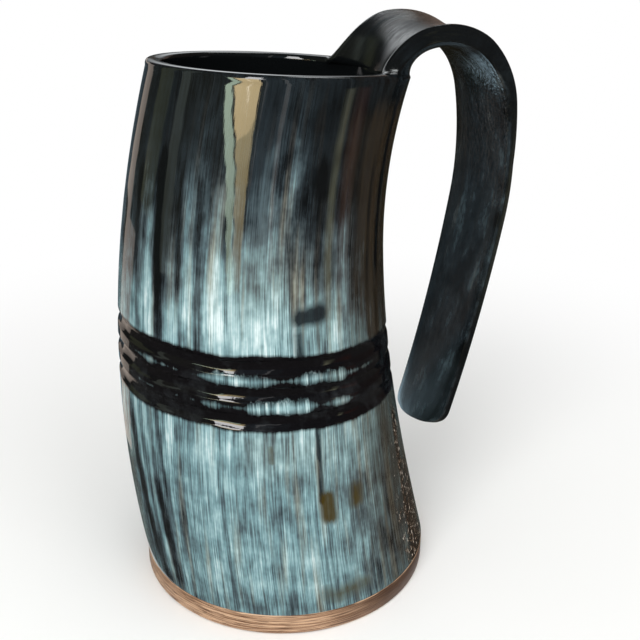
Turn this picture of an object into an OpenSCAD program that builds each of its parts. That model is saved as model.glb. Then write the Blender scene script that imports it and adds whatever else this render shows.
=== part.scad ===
// Horn drinking cup: a carved horn whose own strap is bent over as the handle, closed by a turned wooden base

/* [Horn wall] */
// Height of the middle of the rim above the table
rim_height = 160; // [140:1:190]
// Outer diameter of the horn where it stands on the wood
foot_d = 91; // [84:1:100]
// Outer diameter of the horn at the rim, without the flare under the handle
rim_d = 68.6; // [62:0.2:76]
// Thickness of the horn wall
wall = 4; // [3:0.5:5.5]
// Distance of the rim's middle from the foot's middle, away from the handle
rim_offset = 2; // [0:0.5:6]
// Lean of the horn at the foot, away from the handle, in degrees
foot_lean = 11.3; // [8:0.1:15]
// Lean of the horn at the rim, towards the handle, in degrees
rim_lean = 13; // [9:0.5:17]
// Draft of the outer wall at the foot, in degrees
foot_draft = 1.5; // [0:0.5:3]
// Draft of the outer wall at the rim, in degrees
rim_draft = 3; // [1:0.5:5]

/* [Rim] */
// Slope of the rim down towards the handle, in degrees
rim_slope = 4; // [0:0.5:7]
// Slope of the wall's growth rings down towards the handle at half height, in degrees
middle_slope = 5; // [0:0.5:7]
// Slope of the rim down to the left of the handle, in degrees
side_slope = 4.2; // [0:0.2:6]
// Height of the rounded lip
lip_rise = 2; // [1:0.5:3]
// Outward flare of the rim under the handle
flare = 4; // [1:0.5:7]
// Height over which the flare grows
flare_height = 49; // [35:1:60]
// Angle round the rim over which the flare fades out, in degrees
flare_spread = 87; // [60:1:110]
// Extra thickness of the wall under the handle
root_thickening = 2; // [0:0.5:3]

/* [Carved grooves] */
// Number of grooves
groove_count = 3; // [1:1:4]
// Height of the middle of the band of grooves above the table
groove_height = 78.4; // [70:0.2:90]
// Distance from one groove to the next
groove_pitch = 7.7; // [6:0.1:9]
// Width of a groove
groove_w = 4.6; // [3:0.2:5.6]
// Depth of a groove
groove_depth = 1; // [0.5:0.1:1.5]

/* [Handle] */
// Width of the strap above its root
strap_w = 34; // [26:1:38]
// Width of the strap at its free end
strap_end_w = 30; // [22:1:36]
// Thickness of the strap over the arch
arch_t = 6.2; // [4:0.2:7]
// Thickness of the strap at its free end
strap_end_t = 3.2; // [2.4:0.2:4.4]
// Straight rise of the strap above the rim before it bends
root_rise = 0.2; // [0.2:0.2:4]
// Angle of the strap's root above the horizontal, in degrees
root_angle = 64; // [60:1:80]
// Radius of the tight arch over the rim, at the middle of the strap
arch_r = 13.8; // [10:0.2:18]
// Turn of the arch, in degrees
arch_turn = 103; // [93:1:108]
// Radius of the shoulder after the arch
shoulder_r = 26; // [20:1:36]
// Turn of the shoulder, in degrees
shoulder_turn = 40; // [34:1:46]
// Radius of the bend below the shoulder
lower_r = 100; // [70:5:140]
// Turn of the bend below the shoulder, in degrees
lower_turn = 20; // [12:1:24]
// Radius of the long tail
tail_r = 600; // [400:20:900]
// Length of the long tail
tail_length = 74; // [50:1:80]
// Height of the fillets where the strap widens into the rim
root_fillet = 11; // [7:1:16]
// Dish across the strap at the top of the arch
arch_dish = 2.6; // [0:0.2:4]
// Length of the rounding at the free end
end_round = 5; // [3:0.5:12]

/* [Wooden base] */
// Height of the wood that shows under the horn
flange_h = 7; // [5:0.5:12]
// Height of the spigot inside the horn
spigot_h = 8; // [5:0.5:12]
// Horn left outside the bored seat at the foot
seat_wall = 6; // [5:0.5:9]
// Glue gap round the spigot and the seal
glue_gap = 0.3; // [0.2:0.05:0.5]
// Bevel round the lower edge of the wood
wood_bevel = 1; // [0.5:0.1:2]

/* [Resin seal] */
// Thickness of the sealing pour over the spigot
seal_t = 1.5; // [1:0.1:2.5]
// Height of the seal's fillet against the horn
seal_fillet = 2.5; // [1.5:0.1:4]

/* [Hidden] */
ring_sides = 60;
ring_step = 360 / ring_sides;
root_steps = 7;
root_half_angle = root_steps * ring_step;
lip_fade_angle = 2 * ring_step;
lip_steps = 6;
lower_steps = 8;
upper_steps = 12;
inner_steps = 14;
arc_steps = [12, 8, 8, 8];
end_steps = 6;
fillet_steps = 6;
turned_sides = 96;
// A groove's section: places across its width and how deep it is there
groove_across_shares = [-0.5, -0.38, -0.2, 0, 0.2, 0.38, 0.5];
groove_depth_shares = [0, 0.62, 0.93, 1, 0.93, 0.62, 0];
// How blunt the free end is, and how far its rounding is followed before it is closed
end_power = 2.8;
end_close_share = 0.99;
// How thick the strap's rounded edge stays, and how suddenly the rounding starts
edge_share = 0.8;
edge_power = 10;
// Where along the strap the thickness has come down from the arch to the tail
thin_share = 0.4;
// Height of the ledge between the bored seat and the horn's own inside
ledge_h = 1.5;
horn_h = rim_height - flange_h;
lip_level = (horn_h - lip_rise) / horn_h;
flare_level = 1 - flare_height / horn_h;
seat_r = foot_d / 2 - seat_wall;
seat_top = flange_h + spigot_h + seal_t + seal_fillet;
spigot_top = flange_h + spigot_h;
groove_band = (groove_count - 1) * groove_pitch + groove_w;

// Smooth curve from a to b with slopes at both ends, for t from 0 to 1
function blend(t, a, b, slope_a, slope_b) =
    a * (2 * t^3 - 3 * t^2 + 1) + slope_a * (t^3 - 2 * t^2 + t)
    + b * (3 * t^2 - 2 * t^3) + slope_b * (t^3 - t^2);

// Angle from the handle's side, between -180 and 180
function from_handle(angle) = angle > 180 ? angle - 360 : angle;

// Share of the full flare at a level of the wall and an angle round it
function flare_at(level, angle) =
    exp(-(from_handle(angle) / flare_spread)^2) * max(0, (level - flare_level) / (1 - flare_level))^2;

function horn_radius(level, angle) =
    blend(level, foot_d / 2, rim_d / 2, -tan(foot_draft) * horn_h, -tan(rim_draft) * horn_h)
    + flare * flare_at(level, angle);

function horn_wall(level, angle) = wall + root_thickening * flare_at(level, angle);

// Point of the wall at a level from 0 at the foot to 1 at the rim, a depth below the outer face
function horn_point(level, angle, depth) =
    let (
        middle_x = blend(level, 0, -rim_offset, -tan(foot_lean) * horn_h, tan(rim_lean) * horn_h),
        slope = level * (4 * middle_slope - rim_slope) + level^2 * (2 * rim_slope - 4 * middle_slope),
        side = side_slope * level^2,
        reach = horn_radius(level, angle) - depth,
        out = reach * cos(angle),
        across = reach * sin(angle)
    )
    [middle_x + out * cos(slope), across * cos(side),
     flange_h + level * horn_h - out * sin(slope) - across * sin(side)];

function level_of(height) = (height - flange_h) / horn_h;

// The lip is flat where the handle stands on it and rounded elsewhere
function lip_share(angle) =
    min(1, max(0, (abs(from_handle(angle)) - root_half_angle) / lip_fade_angle));

function ring_angles() = [for (i = [0 : ring_sides - 1]) i * ring_step];

function wall_ring(level, depth) = [for (a = ring_angles()) horn_point(level, a, depth)];

// One ring of the lip, of steps from the outer to the inner face
function lip_ring(step) =
    let (
        turn = 180 * step / lip_steps,
        across = min(1, max(0, (step - 1) / (lip_steps - 2))),
        up = step == 0 || step == lip_steps ? 0 : 1
    )
    [for (a = ring_angles())
        let (
            rounded = lip_share(a),
            depth_share = rounded * (1 - cos(turn)) / 2 + (1 - rounded) * across,
            rise_share = rounded * sin(turn) + (1 - rounded) * up
        )
        horn_point(lip_level, a, horn_wall(lip_level, a) * depth_share) + [0, 0, lip_rise * rise_share]];

function inner_ring(level) = [for (a = ring_angles()) horn_point(level, a, horn_wall(level, a))];

function seat_ring(height) = [for (a = ring_angles()) [seat_r * cos(a), seat_r * sin(a), height]];

function groove_rings() =
    [for (g = [0 : groove_count - 1])
        let (middle = groove_height + (g - (groove_count - 1) / 2) * groove_pitch)
        for (k = [0 : len(groove_across_shares) - 1])
            wall_ring(level_of(middle + groove_across_shares[k] * groove_w),
                      groove_depth_shares[k] * groove_depth)];

// Rings from the foot up the outside, over the lip and down the inside to the foot again
function horn_rings() =
    let (
        low = level_of(groove_height - groove_band / 2),
        high = level_of(groove_height + groove_band / 2),
        inside = level_of(seat_top + ledge_h)
    )
    concat(
        [for (k = [0 : lower_steps - 1]) wall_ring(low * k / lower_steps, 0)],
        groove_rings(),
        [for (k = [1 : upper_steps - 1]) wall_ring(high + (lip_level - high) * k / upper_steps, 0)],
        [for (k = [0 : lip_steps]) lip_ring(k)],
        [for (k = [1 : inner_steps]) inner_ring(lip_level + (inside - lip_level) * k / inner_steps)],
        [seat_ring(seat_top), seat_ring(flange_h)]
    );

// Two triangles for each cell between neighbouring rings of equal length
function strip_faces(rings, sides, closed) =
    [for (r = [0 : rings - (closed ? 1 : 2)])
        let (next = (r + 1) % rings)
        for (i = [0 : sides - 1])
            let (j = (i + 1) % sides)
            for (face = [[r * sides + i, next * sides + i, next * sides + j],
                         [r * sides + i, next * sides + j, r * sides + j]])
                face];

function flat(lists) = [for (list = lists) for (item = list) item];

module horn_body() {
    rings = horn_rings();
    color("#3c4644")
        polyhedron(flat(rings), strip_faces(len(rings), ring_sides, true), convexity = 10);
}

// The strap's middle line: tangent arcs in the plane y = 0, each a radius and a turn
arcs = [
    [arch_r, arch_turn],
    [shoulder_r, shoulder_turn],
    [lower_r, lower_turn],
    [tail_r, tail_length / tail_r * 180 / PI]
];

function arc_point(start, angle, radius, turn) =
    start + radius * [sin(angle) - sin(angle - turn), cos(angle - turn) - cos(angle)];

root_middle = (horn_point(lip_level, 0, 0) + horn_point(lip_level, 0, horn_wall(lip_level, 0))) / 2;
root_start = [root_middle.x, root_middle.z + lip_rise];
arch_start = root_start + root_rise * [cos(root_angle), sin(root_angle)];

// Where each arc begins: its first point, its direction and the length before it
function arc_begin(k) =
    k == 0
        ? [arch_start, root_angle, root_rise]
        : let (before = arc_begin(k - 1), arc = arcs[k - 1])
          [arc_point(before[0], before[1], arc[0], arc[1]), before[1] - arc[1],
           before[2] + arc[0] * arc[1] * PI / 180];

strap_length = arc_begin(len(arcs) - 1)[2] + tail_length;
tail_begin = arc_begin(len(arcs) - 1)[2];

// A place on the middle line: its point, its direction and its length from the root
function arc_place(k, share) =
    let (begin = arc_begin(k), arc = arcs[k], turn = arc[1] * share)
    [arc_point(begin[0], begin[1], arc[0], turn), begin[1] - turn, begin[2] + arc[0] * turn * PI / 180];

function tail_place(length) = arc_place(len(arcs) - 1, (length - tail_begin) / tail_length);

function strap_places() =
    concat(
        [[root_start, root_angle, 0]],
        [for (k = [0 : len(arcs) - 2]) for (i = [0 : arc_steps[k] - 1]) arc_place(k, i / arc_steps[k])],
        [for (i = [0 : arc_steps[len(arcs) - 1]])
            tail_place(tail_begin + (tail_length - end_round) * i / arc_steps[len(arcs) - 1])],
        [for (i = [1 : end_steps])
            tail_place(strap_length - end_round * (1 - end_close_share * sin(90 * i / end_steps)))]
    );

root_half_w = horn_point(lip_level, root_half_angle, 0).y;
root_dish = horn_point(lip_level, 0, 0).x - horn_point(lip_level, root_half_angle, 0).x;

function strap_half_w(length) =
    let (
        plain = (strap_w + (strap_end_w - strap_w) * length / strap_length) / 2,
        down = max(0, 1 - length / root_fillet),
        widened = plain + (root_half_w - strap_w / 2) * (1 - sqrt(1 - down^2)),
        tip = max(0, (length - strap_length + end_round) / end_round)
    )
    widened * (1 - tip^end_power)^(1 / end_power);

function strap_t(length) =
    let (root_t = horn_wall(lip_level, 0), arch_end = arc_begin(1)[2])
    lookup(length, [[0, root_t], [arch_end, arch_t], [thin_share * strap_length, strap_end_t],
                    [strap_length, strap_end_t]]);

function strap_dish(length) =
    let (arch_end = arc_begin(1)[2])
    arch_dish * max(0, 1 - length / (thin_share * strap_length))
    + (root_dish - arch_dish) * max(0, 1 - length / arch_end)^3;

// Point of the strap's section at a step across it, on its outer face (-1) or inner face (+1)
function strap_point(place, step, face) =
    let (
        angle = place[1],
        length = place[2],
        across_share = sin(step * ring_step) / sin(root_half_angle),
        dish_share = (1 - cos(step * ring_step)) / (1 - cos(root_half_angle)),
        rounded = min(1, length / root_fillet),
        edge = 1 - rounded * (1 - edge_share) * abs(across_share)^edge_power,
        off = strap_dish(length) * dish_share + face * strap_t(length) / 2 * edge
    )
    [place[0].x - off * sin(angle), strap_half_w(length) * across_share, place[0].y + off * cos(angle)];

// The root face lies on the flat of the rim, and its shape fades into the strap's own section
function root_point(step, face) =
    horn_point(lip_level, step * ring_step, face > 0 ? horn_wall(lip_level, step * ring_step) : 0)
    + [0, 0, lip_rise];

function strap_section(place) =
    let (
        first = [root_start, root_angle, 0],
        fade = max(0, 1 - place[2] / root_fillet)^2,
        order = concat([for (s = [-root_steps : root_steps]) [s, -1]],
                       [for (s = [-root_steps : root_steps]) [-s, 1]])
    )
    [for (o = order)
        strap_point(place, o[0], o[1])
        + fade * (root_point(o[0], o[1]) - strap_point(first, o[0], o[1]))];

module horn_handle() {
    sections = [for (place = strap_places()) strap_section(place)];
    sides = len(sections[0]);
    last = (len(sections) - 1) * sides;
    // Each end is closed by a strip across from its outer to its inner face
    half = sides / 2;
    root_cap = [for (i = [0 : half - 2])
        for (face = [[i, i + 1, sides - 2 - i], [i, sides - 2 - i, sides - 1 - i]]) face];
    tip_cap = [for (face = root_cap) [last + face[0], last + face[2], last + face[1]]];
    color("#1d2222")
        polyhedron(
            flat(sections),
            concat(strip_faces(len(sections), sides, false), root_cap, tip_cap),
            convexity = 10
        );
}

module wood_base() {
    spigot_r = seat_r - glue_gap;
    color("#a9754b")
        rotate_extrude($fn = turned_sides)
            polygon([
                [0, 0],
                [foot_d / 2 - wood_bevel, 0],
                [foot_d / 2, wood_bevel],
                [foot_d / 2, flange_h],
                [spigot_r, flange_h],
                [spigot_r, spigot_top],
                [0, spigot_top]
            ]);
}

module resin_seal() {
    seal_r = seat_r - glue_gap;
    seal_top = spigot_top + seal_t;
    color("#5a3a1e")
        rotate_extrude($fn = turned_sides)
            polygon(concat(
                [[0, spigot_top], [seal_r, spigot_top]],
                [for (i = [0 : fillet_steps])
                    let (turn = 90 * i / fillet_steps)
                    [seal_r - seal_fillet * (1 - cos(turn)), seal_top + seal_fillet * (1 - sin(turn))]],
                [[0, seal_top]]
            ));
}

horn_body();
horn_handle();
wood_base();
resin_seal();
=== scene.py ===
"""Horn drinking cup: polished horn with burnt grooves, its own strap as handle, on a turned wooden base"""

import math

import bpy
import numpy as np
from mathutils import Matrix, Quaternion, Vector


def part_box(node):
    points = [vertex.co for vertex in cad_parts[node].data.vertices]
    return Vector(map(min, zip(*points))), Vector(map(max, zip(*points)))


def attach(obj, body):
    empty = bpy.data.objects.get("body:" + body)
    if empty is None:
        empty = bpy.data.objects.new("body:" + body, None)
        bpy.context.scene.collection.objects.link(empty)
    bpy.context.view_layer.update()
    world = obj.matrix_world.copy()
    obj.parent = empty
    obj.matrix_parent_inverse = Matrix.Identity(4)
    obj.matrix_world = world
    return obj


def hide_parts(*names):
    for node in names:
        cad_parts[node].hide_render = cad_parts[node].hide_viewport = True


bl_info = {
    "name": "Horn drinking cup",
    "version": (1, 0, 0),
    "blender": (4, 5, 0),
    "location": "View3D > Sidebar > Horn cup",
    "description": "Builds a carved horn tankard with burnt grooves, a strap handle and a wooden base",
    "category": "Object",
}

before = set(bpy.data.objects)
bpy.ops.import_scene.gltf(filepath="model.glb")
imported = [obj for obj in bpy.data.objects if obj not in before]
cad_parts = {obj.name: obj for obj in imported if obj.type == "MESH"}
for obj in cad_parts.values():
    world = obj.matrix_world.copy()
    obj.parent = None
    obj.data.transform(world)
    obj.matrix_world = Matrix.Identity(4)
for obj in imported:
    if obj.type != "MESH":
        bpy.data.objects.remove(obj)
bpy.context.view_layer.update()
HORN_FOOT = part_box("horn_body")[0].z
FOOT_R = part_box("wood_base")[1].x
SPIGOT_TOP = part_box("wood_base")[1].z
SEAL_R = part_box("resin_seal")[1].x
SEAT_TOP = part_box("resin_seal")[1].z
MM = 0.001
TURN = 2 * math.pi
# points round the horn, how many of them lie on each side of the strap's middle, and steps over the lip
SIDES = 240
ROOT_COLUMNS = 28
LIP_STEPS = 12
# powers that square off the half circles of the lip and of the strap's edges
LIP_SQUARE = 3.0
EDGE_SQUARE = 4.5


def length(name, description, default, low=0.0, high=1.0):
    """A size in metres for the sidebar"""
    return bpy.props.FloatProperty(
        name=name, description=description, default=default, min=low, max=high, unit="LENGTH", precision=4
    )


def angle(name, description, degrees):
    """An angle for the sidebar, given in degrees"""
    return bpy.props.FloatProperty(
        name=name, description=description, default=math.radians(degrees), unit="ROTATION"
    )


def colour(name, description, code):
    """A colour for the sidebar, given as an sRGB hex code"""
    return bpy.props.FloatVectorProperty(
        name=name, description=description, default=linear(code), min=0.0, max=1.0, size=4, subtype="COLOR"
    )


def linear(code):
    """An sRGB hex code as linear red, green, blue and alpha"""
    shares = [int(code[k : k + 2], 16) / 255 for k in (1, 3, 5)]
    return tuple(s / 12.92 if s <= 0.04045 else ((s + 0.055) / 1.055) ** 2.4 for s in shares) + (1.0,)


class HornWallSizes(bpy.types.PropertyGroup):
    """The horn's wall, rim and carved grooves"""

    rim_height: length("Rim height", "Height of the middle of the rim above the table", 0.160)
    foot_d: length("Foot", "Outer diameter of the horn where it stands on the wood", 2 * FOOT_R)
    rim_d: length("Rim", "Outer diameter of the horn at the rim, without the flare", 0.0686)
    wall: length("Wall", "Thickness of the horn wall", 0.004)
    rim_offset: length("Rim offset", "The rim's middle from the foot's, away from the handle", 0.002)
    foot_lean: angle("Foot lean", "Lean of the horn at the foot, away from the handle", 11.3)
    rim_lean: angle("Rim lean", "Lean of the horn at the rim, towards the handle", 13)
    foot_draft: angle("Foot draft", "Draft of the outer wall at the foot", 1.5)
    rim_draft: angle("Rim draft", "Draft of the outer wall at the rim", 3)
    rim_slope: angle("Rim slope", "Slope of the rim down towards the handle", 4)
    middle_slope: angle("Middle slope", "Slope of the growth rings at half height", 5)
    side_slope: angle("Side slope", "Slope of the rim down to the left of the handle", 4.2)
    lip_rise: length("Lip rise", "Height of the rounded lip", 0.002)
    flare: length("Flare", "Outward flare of the rim under the handle", 0.004)
    flare_height: length("Flare height", "Height over which the flare grows", 0.049)
    flare_spread: angle("Flare spread", "Angle round the rim over which the flare fades out", 87)
    root_thickening: length("Root thickening", "Extra thickness of the wall under the handle", 0.002)
    groove_count: bpy.props.IntProperty(
        name="Grooves", description="Number of grooves", default=3, min=1, max=4
    )
    groove_height: length("Groove height", "Height of the middle of the band of grooves", 0.0784)
    groove_pitch: length("Groove pitch", "Distance from one groove to the next", 0.0077)
    groove_w: length("Groove width", "Width of a groove", 0.0046)
    groove_depth: length("Groove depth", "Depth of a groove", 0.001)


class StrapSizes(bpy.types.PropertyGroup):
    """The strap that is left standing on the rim and bent over as the handle"""

    strap_w: length("Width", "Width of the strap above its root", 0.034)
    strap_end_w: length("End width", "Width of the strap at its free end", 0.030)
    arch_t: length("Arch thickness", "Thickness of the strap over the arch", 0.0062)
    strap_end_t: length("End thickness", "Thickness of the strap at its free end", 0.0032)
    root_rise: length("Root rise", "Straight rise of the strap before it bends", 0.0002)
    root_angle: angle("Root angle", "Angle of the strap's root above the horizontal", 64)
    arch_r: length("Arch radius", "Radius of the tight arch over the rim", 0.0138)
    arch_turn: angle("Arch turn", "Turn of the arch", 103)
    shoulder_r: length("Shoulder radius", "Radius of the shoulder after the arch", 0.026)
    shoulder_turn: angle("Shoulder turn", "Turn of the shoulder", 40)
    lower_r: length("Lower radius", "Radius of the bend below the shoulder", 0.100)
    lower_turn: angle("Lower turn", "Turn of the bend below the shoulder", 20)
    tail_r: length("Tail radius", "Radius of the long tail", 0.600)
    tail_length: length("Tail length", "Length of the long tail", 0.074)
    root_fillet: length("Root fillet", "Height of the fillets where the strap widens into the rim", 0.011)
    arch_dish: length("Arch dish", "Dish across the strap at the top of the arch", 0.0026)
    end_round: length("End rounding", "Length of the rounding at the free end", 0.0075)
    end_skew: length("End skew", "How much further down the far side reaches than the near side", 0.008)
    edge_round: length("Edge rounding", "How far the strap's sawn edges are rounded off", 0.0008)


class FinishColours(bpy.types.PropertyGroup):
    """The colours of the horn, the wood and the resin"""

    white_horn: colour("White horn", "Palest fibres, above the grooves", "#D0DDDC")
    pale_horn: colour("Pale horn", "Pale fibres", "#9DBABD")
    teal_horn: colour("Grey-green horn", "Body colour below the grooves", "#6F8F94")
    slate_horn: colour("Slate horn", "Shaded fibres", "#49585D")
    navy_horn: colour("Navy horn", "Dark fibres", "#22292D")
    # black_horn also serves as the painted shade on the strap's sawn edges
    black_horn: colour("Black horn", "Tip end of the horn, with the rim and the strap", "#0B0D0E")
    tan_horn: colour("Tan horn", "Warm fibres among the pale ones", "#A08F70")
    # brown_horn is the horn's brown streaks, and on the wall's right side towards the handle partly painted
    # reflection
    brown_horn: colour("Brown horn", "Warm streaks towards the handle", "#31281C")
    amber_horn: colour("Amber horn", "Spots where the horn lets the light in", "#3E3210")
    scar: colour("Scar", "Old dark cuts in the horn", "#181D21")
    soot: colour("Soot", "Burnt grooves", "#0C0B0D")
    worn_soot: colour("Worn soot", "Soot rubbed thin", "#3E4346")
    pale_wood: colour("Pale wood", "Early wood of the base", "#D7B290")
    dark_wood: colour("Dark wood", "Late wood of the base", "#6A4122")
    wood_pores: colour("Wood pores", "Open pores of the base", "#4E2E17")
    # oiled end grain, darkened and placed to stand as painted shade on the base's right side
    end_grain_shade: colour("End grain", "Oiled end grain of the base, on two sides of it", "#402310")
    resin: colour("Resin", "Sealing pour inside the foot", "#1C120A")
    resin_swirls: colour("Resin swirls", "Paler swirls in the pour", "#33230F")


class StageSettings(bpy.types.PropertyGroup):
    """The camera, the floor and the lights"""

    camera_azimuth: angle("Camera azimuth", "Turn of the camera round the cup", -18)
    camera_elevation: angle("Camera elevation", "Height of the camera as an angle", 24.82)
    camera_roll: angle("Camera roll", "Tilt of the camera about its own axis", 0.445)
    camera_distance: length("Camera distance", "Distance of the camera from the cup's middle", 0.310)
    look_right: length("Look right", "How far right of the middle the camera looks", 0.01063)
    look_up: length("Look up", "How far above the middle the camera looks", 0.001977)
    middle_x: length("Middle X", "Where the cup's middle lies along X", 0.00065)
    middle_z: length("Middle height", "Height of the cup's middle", 0.080)
    lens: bpy.props.FloatProperty(
        name="Lens", description="Focal length on a 36 mm sensor", default=56.87, unit="CAMERA"
    )
    floor_r: length("Floor radius", "Radius of the paper floor", 4.0, high=20.0)
    fill: bpy.props.FloatProperty(
        name="Fill", description="Strength of the even light from all round", default=0.45, min=0.0
    )


def blend(t, a, b, slope_a, slope_b):
    """Smooth curve from a to b with slopes at both ends, for t from 0 to 1"""
    return (
        a * (2 * t**3 - 3 * t**2 + 1)
        + slope_a * (t**3 - 2 * t**2 + t)
        + b * (3 * t**2 - 2 * t**3)
        + slope_b * (t**3 - t**2)
    )


def smooth(low, high, value):
    """0 below low, 1 above high and a smooth rise between"""
    t = np.clip((value - low) / (high - low), 0, 1)
    return t * t * (3 - 2 * t)


def squared(step, power):
    """The two coordinates round half a squared-off circle"""
    across = np.sign(np.cos(step)) * np.abs(np.cos(step)) ** (2 / power)
    return across, np.sin(step) ** (2 / power)


def waver(turn, wave, number=0):
    """A seeded wavy line round the horn, from its size, seed, and fewest and most waves to the turn"""
    size, seed, lowest, highest = wave
    draw = np.random.RandomState(seed + number)
    counts = np.arange(lowest, highest + 1)
    shares = draw.uniform(0.4, 1, len(counts)) * math.sqrt(2 / len(counts))
    starts = draw.uniform(0, TURN, len(counts))
    waves = [share * np.sin(count * turn + start) for count, share, start in zip(counts, shares, starts)]
    return size * np.sum(waves, axis=0)


# share of the strap's length at which it reaches its least thickness and loses its dish
THIN_FROM = 0.4


class HornForm:
    """The horn's wall and strap as formulas in metres, worked out from the sizes in the sidebar"""

    def __init__(self, wall, strap):
        self.wall = wall
        self.strap = strap
        self.horn_h = wall.rim_height - HORN_FOOT
        self.lip_level = 1 - wall.lip_rise / self.horn_h
        self.flare_level = 1 - wall.flare_height / self.horn_h
        lip_t = self.wall_t(self.lip_level, 0)
        middle = (self.point(self.lip_level, 0, 0) + self.point(self.lip_level, 0, lip_t)) / 2
        self.root = np.array([middle[0], middle[2] + wall.lip_rise])
        tail_turn = strap.tail_length / strap.tail_r
        self.arcs = [
            (strap.arch_r, strap.arch_turn),
            (strap.shoulder_r, strap.shoulder_turn),
            (strap.lower_r, strap.lower_turn),
            (strap.tail_r, tail_turn),
        ]
        self.arch_end = strap.root_rise + strap.arch_r * strap.arch_turn
        self.strap_length = strap.root_rise + sum(r * turn for r, turn in self.arcs)
        self.thin_from = THIN_FROM * self.strap_length

    def level(self, height):
        """Share of the horn's height, 0 at the foot and 1 at the rim"""
        return (height - HORN_FOOT) / self.horn_h

    def flare_share(self, level, turn):
        """How much of the flare under the handle a place has"""
        off = (np.asarray(turn) + math.pi) % TURN - math.pi
        grown = np.maximum(0, (level - self.flare_level) / (1 - self.flare_level)) ** 2
        return np.exp(-((off / self.wall.flare_spread) ** 2)) * grown

    def wall_t(self, level, turn):
        """Thickness of the wall"""
        return self.wall.wall + self.wall.root_thickening * self.flare_share(level, turn)

    def point(self, level, turn, depth):
        """Point of the wall at a level from 0 at the foot to 1 at the rim, a depth below the outer face"""
        w = self.wall
        drafts = -math.tan(w.foot_draft) * self.horn_h, -math.tan(w.rim_draft) * self.horn_h
        leans = -math.tan(w.foot_lean) * self.horn_h, math.tan(w.rim_lean) * self.horn_h
        radius = blend(level, w.foot_d / 2, w.rim_d / 2, *drafts) + w.flare * self.flare_share(level, turn)
        middle_x = blend(level, 0, -w.rim_offset, *leans)
        slope = level * (4 * w.middle_slope - w.rim_slope) + level**2 * (2 * w.rim_slope - 4 * w.middle_slope)
        side = w.side_slope * level**2
        out = (radius - depth) * np.cos(turn)
        across = (radius - depth) * np.sin(turn)
        height = HORN_FOOT + level * self.horn_h - out * np.sin(slope) - across * np.sin(side)
        x = middle_x + out * np.cos(slope)
        return np.stack(np.broadcast_arrays(x, across * np.cos(side), height), -1)

    def strap_line(self, along):
        """The strap's middle line: x, z and direction at lengths from its root"""
        s = self.strap
        along = np.asarray(along, float)
        heading = s.root_angle
        start = self.root + s.root_rise * np.array([math.cos(heading), math.sin(heading)])
        x = self.root[0] + along * math.cos(heading)
        z = self.root[1] + along * math.sin(heading)
        direction = np.full(along.shape, heading)
        passed = s.root_rise
        for radius, turn in self.arcs:
            here = np.minimum((along - passed) / radius, turn)
            on = along > passed
            beyond = np.maximum(0, along - passed - radius * turn)
            after = heading - here
            arc_x = start[0] + radius * (math.sin(heading) - np.sin(after))
            arc_z = start[1] + radius * (np.cos(after) - math.cos(heading))
            x = np.where(on, arc_x + beyond * np.cos(after), x)
            z = np.where(on, arc_z + beyond * np.sin(after), z)
            direction = np.where(on, after, direction)
            last = heading - turn
            start = start + radius * np.array(
                [math.sin(heading) - math.sin(last), math.cos(last) - math.cos(heading)]
            )
            heading = last
            passed += radius * turn
        return x, z, direction

    def strap_t(self, along):
        """Thickness of the strap at lengths from its root"""
        s = self.strap
        root_t = float(self.wall_t(self.lip_level, 0))
        places = [0, self.arch_end, self.thin_from, self.strap_length]
        return np.interp(along, places, [root_t, s.arch_t, s.strap_end_t, s.strap_end_t])

    def strap_dish(self, along, root_dish):
        """Dish across the strap at lengths from its root"""
        s = self.strap
        flat = s.arch_dish * np.maximum(0, 1 - along / self.thin_from)
        return flat + (root_dish - s.arch_dish) * np.clip(1 - along / self.arch_end, 0, 1) ** 3


# the distance from soot that is given to places with none near them
SOOT_FREE = 4 * MM
# where a point's turn, depth and inside share stand in the skin's table
TURN_AT = 3
DEPTH_AT = 5
INSIDE_AT = 7


class HornMesh:
    """One skin of wall and strap: its faces, and its points with their turn round the horn, their rise along
    the fibres from the foot, their depth below the outer face, their soot and inside shares, and their share
    of painted shade on the sawn edges"""

    def __init__(self, form):
        self.form = form
        self.blocks = []
        self.wall_faces = []
        self.strap_faces = []
        self.seam = []
        self.count = 0

    def add(self, points, turn, rise, depth, soot=SOOT_FREE, inside=0.0, edge=0.0):
        """Takes a block of points and gives their numbers in the same shape"""
        shape = points.shape[:-1]
        parts = [np.broadcast_to(part, shape)[..., None] for part in (turn, rise, depth, soot, inside, edge)]
        self.blocks.append(np.concatenate([points, *parts], -1).reshape(-1, 3 + len(parts)))
        numbers = np.arange(self.count, self.count + len(self.blocks[-1])).reshape(shape)
        self.count += numbers.size
        return numbers

    def table(self):
        """All points with their values, one to a row"""
        return np.concatenate(self.blocks)

    @staticmethod
    def cells(grid):
        """Quads of a grid of point numbers, rows going forward and columns to the left"""
        return np.stack([grid[:-1, :-1], grid[:-1, 1:], grid[1:, 1:], grid[1:, :-1]], -1).reshape(-1, 4)


# how a hand-cut groove wanders and how its width and depth vary, and how unevenly a ridge is worn: size,
# seed, and fewest and most waves to the turn
GROOVE_WANDER = (0.22 * MM, 11, 2, 9)
GROOVE_WIDTHS = (0.05, 21, 5, 24)
GROOVE_DEPTHS = (0.09, 31, 12, 30)
RIDGE_WEAR = (0.08, 51, 24, 64)
# a groove's usual and least depth as shares of the full one, and how square its section is
USUAL_CUT = 0.9
LEAST_CUT = 0.55
GROOVE_SQUARE = 3.2
# how far soot reaches past a groove: over the ridges, beyond the band, on a bare patch, and in a smear
# above the band whose middle and half width are in degrees
RIDGE_SOOT = 2.0 * MM
BAND_SOOT = 0.5 * MM
BARE_SOOT = -0.3 * MM
SMEAR_SOOT = 0.6 * MM
SMEAR_MIDDLE = 254
SMEAR_HALF = 14
# how gently soot thins out on the ridges, how bare a patch is, and the shares of its length where it ends
RIDGE_SOFTNESS = 0.42
PATCH_BARENESS = 0.92
PATCH_END = (0.55, 1.3)
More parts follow.
